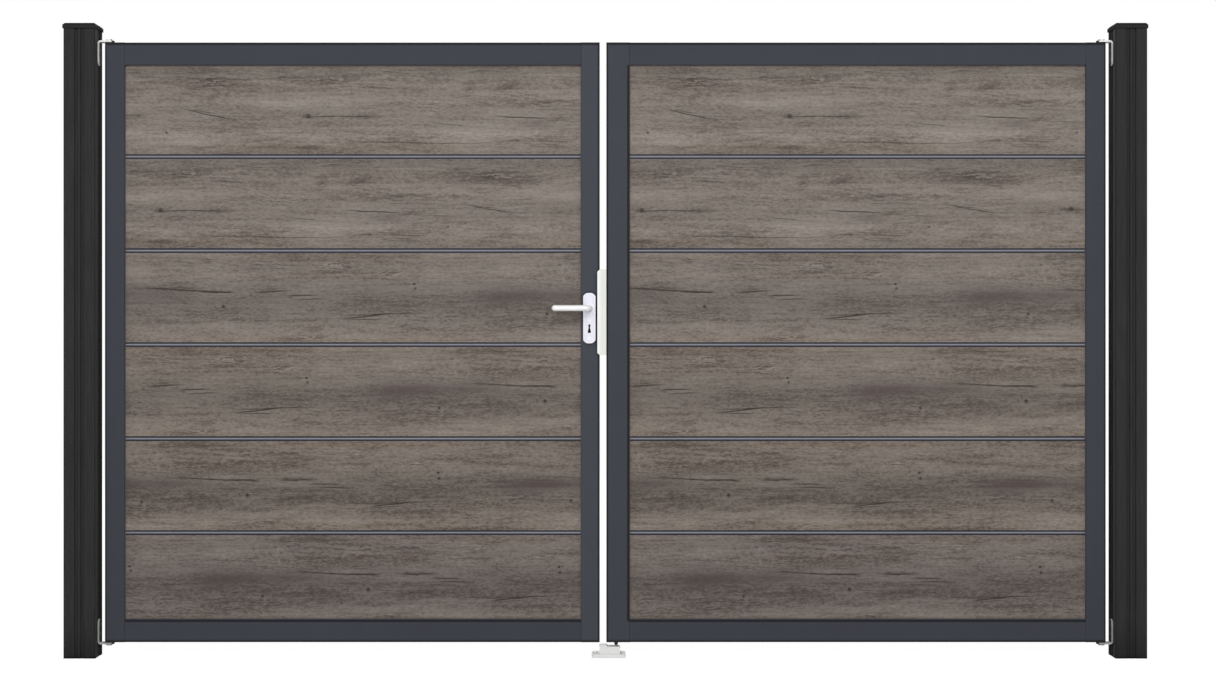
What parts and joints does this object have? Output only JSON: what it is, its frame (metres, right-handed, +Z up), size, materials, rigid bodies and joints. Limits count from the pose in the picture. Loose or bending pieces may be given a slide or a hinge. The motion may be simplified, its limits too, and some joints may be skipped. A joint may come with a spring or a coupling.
{
  "type": "double swing gate",
  "caption": "Double swing gate of two framed leaves with horizontal wood-look boards, between square posts, with a lever lock, strike, drop bolt and floor receiver.",
  "frame": {"origin": "middle of the left post's foot, at ground level", "axes": "+X across the gateway from the left post to the right post, +Y the way the leaves open, +Z up"},
  "size_m": [3.244, 0.158, 1.9],
  "materials": {
    "post_coat": "matt black powder coat",
    "frame_coat": "anthracite powder coat",
    "oak_print": "weathered grey oak print",
    "strip_coat": "grey anodised",
    "black_plastic": "matt",
    "hinge_zinc": "zinc plated",
    "cast_alloy": "cast, light grey coat",
    "lock_steel": "zinc plated",
    "plate_silver": "satin anodised",
    "lever_silver": "satin anodised",
    "strike_alloy": "pale matt",
    "rod_coat": "anthracite powder coat"
  },
  "bodies": {
    "posts": {"left_post": "post_coat", "right_post": "post_coat", "left_post_cap": "black_plastic", "right_post_cap": "black_plastic", "left_top_hinge": "hinge_zinc", "left_bottom_hinge": "hinge_zinc", "right_top_hinge": "hinge_zinc", "right_bottom_hinge": "hinge_zinc", "floor_receiver": "cast_alloy"},
    "active_leaf": {"active_hinge_stile": "frame_coat", "active_meeting_stile": "frame_coat", "active_top_rail": "frame_coat", "active_bottom_rail": "frame_coat", "active_board_1": "oak_print", "active_board_2": "oak_print", "active_board_3": "oak_print", "active_board_4": "oak_print", "active_board_5": "oak_print", "active_board_6": "oak_print", "active_joint_strips": "strip_coat", "active_pivot_blocks": "black_plastic", "active_end_caps": "black_plastic", "lock_case": "lock_steel", "dead_bolt": "lock_steel", "front_lock_plate": "plate_silver", "back_lock_plate": "plate_silver"},
    "latch_bolt": {"latch": "lock_steel"},
    "lever_handle": {"front_lever": "lever_silver", "back_lever": "lever_silver", "spindle_bar": "lock_steel"},
    "passive_leaf": {"passive_hinge_stile": "frame_coat", "passive_meeting_stile": "frame_coat", "passive_top_rail": "frame_coat", "passive_bottom_rail": "frame_coat", "passive_board_1": "oak_print", "passive_board_2": "oak_print", "passive_board_3": "oak_print", "passive_board_4": "oak_print", "passive_board_5": "oak_print", "passive_board_6": "oak_print", "passive_joint_strips": "strip_coat", "passive_pivot_blocks": "black_plastic", "passive_end_caps": "black_plastic", "strike": "strike_alloy", "rod_guides": "rod_coat"},
    "drop_bolt": {"drop_rod": "rod_coat"}
  },
  "joints": [
    {"name": "active_swing", "type": "hinge", "parent": "posts", "child": "active_leaf", "pos_m": [0.079, 0, 0.9], "axis": [0, 0, 1], "range_deg": [0, 90]},
    {"name": "passive_swing", "type": "hinge", "parent": "posts", "child": "passive_leaf", "pos_m": [3.065, 0, 0.9], "axis": [0, 0, -1], "range_deg": [0, 90]},
    {"name": "lever_turn", "type": "hinge", "parent": "active_leaf", "child": "lever_handle", "pos_m": [1.524, 0, 1.047], "axis": [0, -1, 0], "range_deg": [0, 35], "stiffness_Nm_per_rad": 1.2, "springref_deg": -22.92},
    {"name": "latch_slide", "type": "slide", "parent": "active_leaf", "child": "latch_bolt", "axis": [-1, 0, 0], "range_m": [0, 0.004]},
    {"name": "rod_drop", "type": "slide", "parent": "passive_leaf", "child": "drop_bolt", "axis": [0, 0, -1], "range_m": [0, 0.022]}
  ],
  "couplings": [
    {"joint": "latch_slide", "follows": "lever_turn", "m_per_rad": 0.0065}
  ]
}
